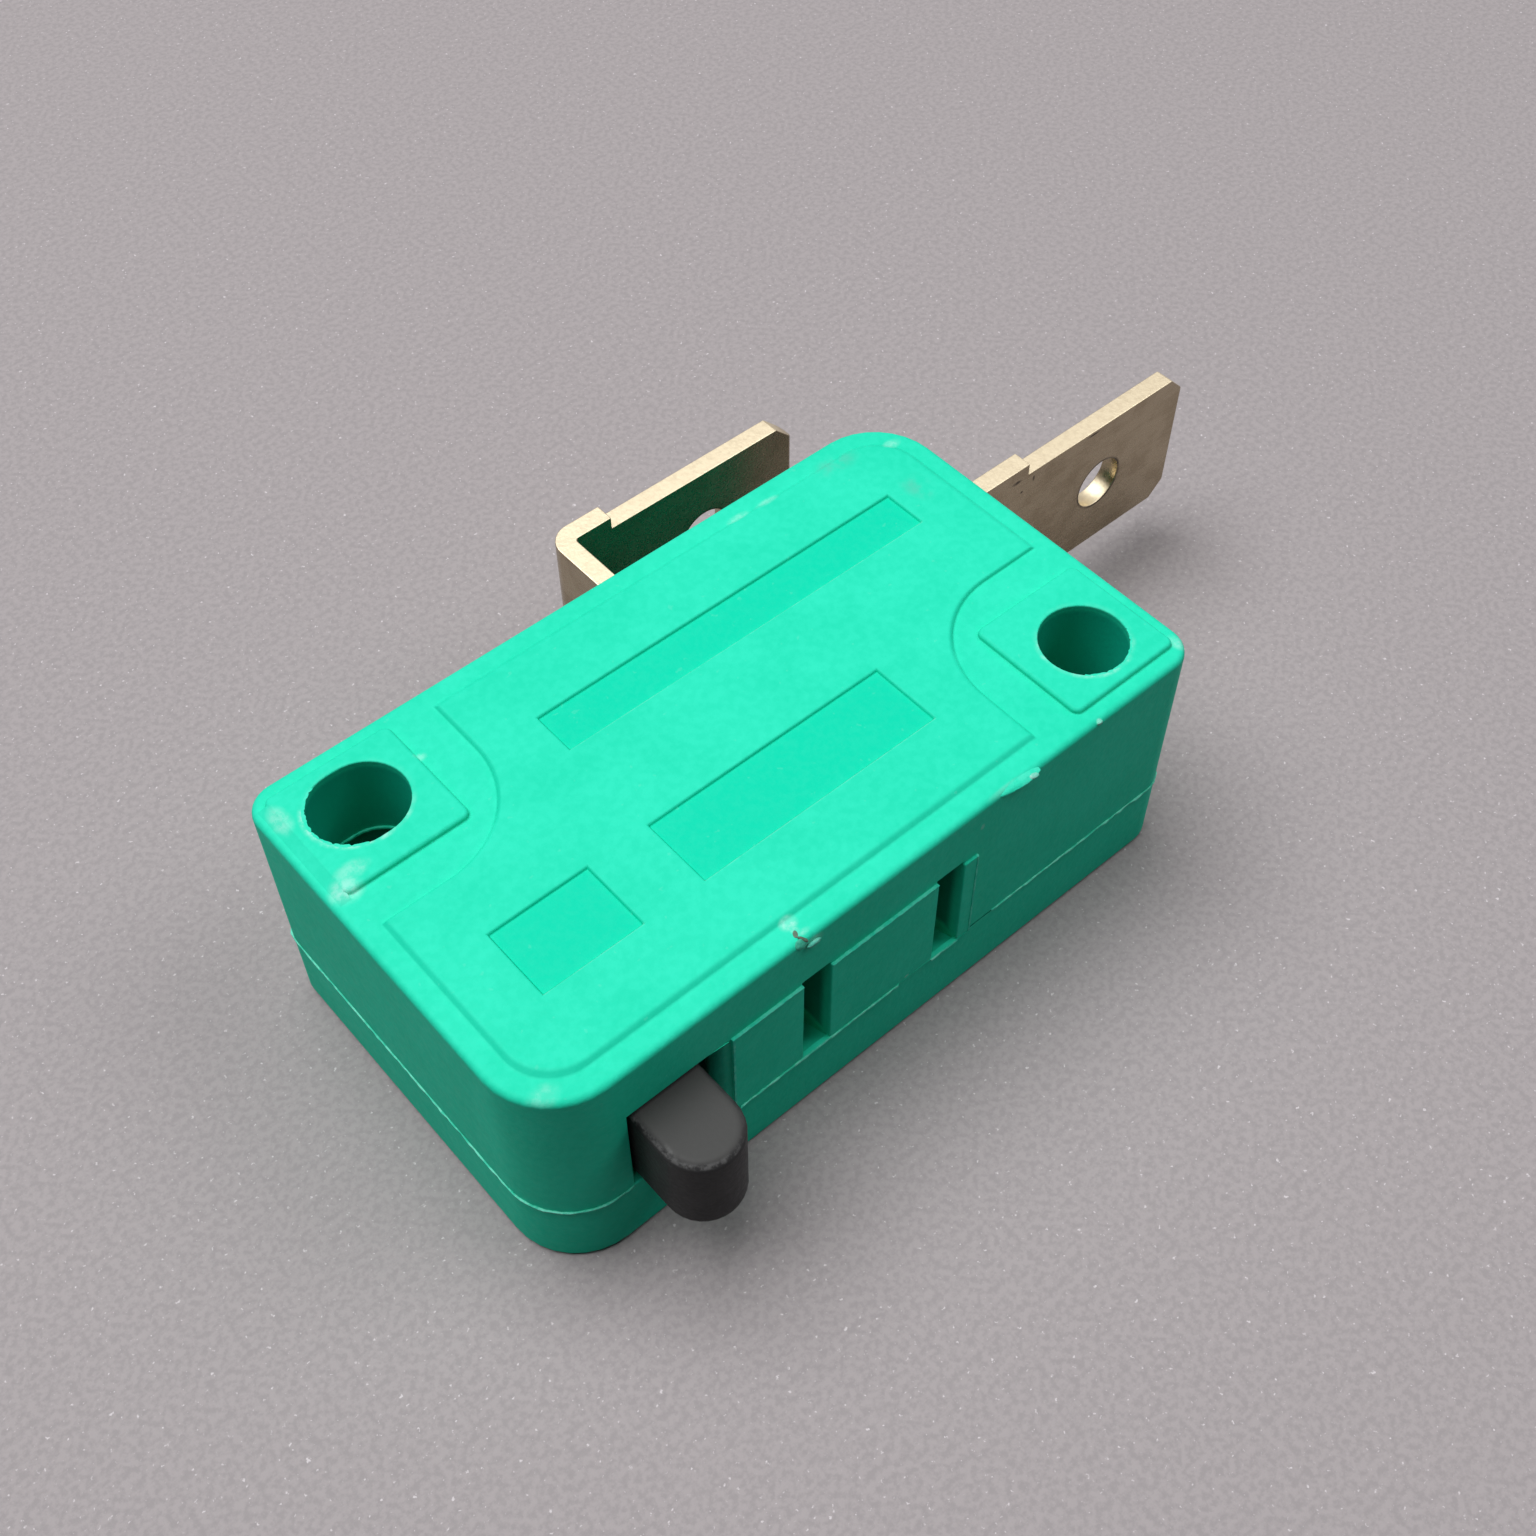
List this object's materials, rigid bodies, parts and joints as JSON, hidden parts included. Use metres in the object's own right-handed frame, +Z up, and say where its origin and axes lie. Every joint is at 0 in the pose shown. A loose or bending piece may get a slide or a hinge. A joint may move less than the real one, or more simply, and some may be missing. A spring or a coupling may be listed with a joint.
{
  "type": "micro switch",
  "caption": "Snap-action micro switch: flat moulded housing with diagonal screw holes, a push plunger in its side, and a straight and a bent blade terminal.",
  "frame": {"origin": "middle of the underside of the cover, on which the switch lies", "axes": "+X along the body from the plunger end to the straight terminal, +Y from the plunger face to the face with the bent terminal, +Z up through the thickness"},
  "size_m": [0.0398, 0.0226, 0.0103],
  "materials": {
    "housing_plastic": "moulded, fine matte",
    "plunger_plastic": "moulded, matte",
    "terminal_brass": "stamped, lightly tarnished",
    "contact_silver": "riveted silver alloy",
    "spring_bronze": "stamped copper alloy",
    "spring_steel": "drawn wire"
  },
  "bodies": {
    "housing": {"case": "housing_plastic", "cover": "housing_plastic", "end_terminal": "terminal_brass", "fixed_contact": "contact_silver", "com_terminal": "terminal_brass"},
    "plunger": {"plunger": "plunger_plastic"},
    "lever": {"drive_lever": "spring_bronze"},
    "arm": {"contact_arm": "spring_bronze", "moving_contact": "contact_silver"},
    "spring": {"snap_spring": "spring_steel"}
  },
  "joints": [
    {"name": "plunger_slide", "type": "slide", "parent": "housing", "child": "plunger", "axis": [0, 1, 0], "range_m": [0, 0.002], "stiffness_N_per_m": 1200, "deforming": ["snap_spring"]},
    {"name": "lever_turn", "type": "hinge", "parent": "housing", "child": "lever", "pos_m": [-0.0009, 0.00192, 0.00515], "axis": [0, 0, 1], "range_deg": [-14.5, 0]},
    {"name": "arm_turn", "type": "hinge", "parent": "housing", "child": "arm", "pos_m": [-0.0059, 0.00065, 0.00515], "axis": [0, 0, 1], "range_deg": [0, 3]},
    {"name": "spring_swing", "type": "hinge", "parent": "arm", "child": "spring", "pos_m": [0.0037, 0.00065, 0.00515], "axis": [0, 0, 1], "range_deg": [-10, 0]}
  ],
  "couplings": [
    {"joint": "lever_turn", "follows": "plunger_slide", "rad_per_m": -125.2},
    {"joint": "arm_turn", "follows": "plunger_slide", "rad_per_m": 25.5},
    {"joint": "spring_swing", "follows": "plunger_slide", "rad_per_m": -85.4}
  ]
}
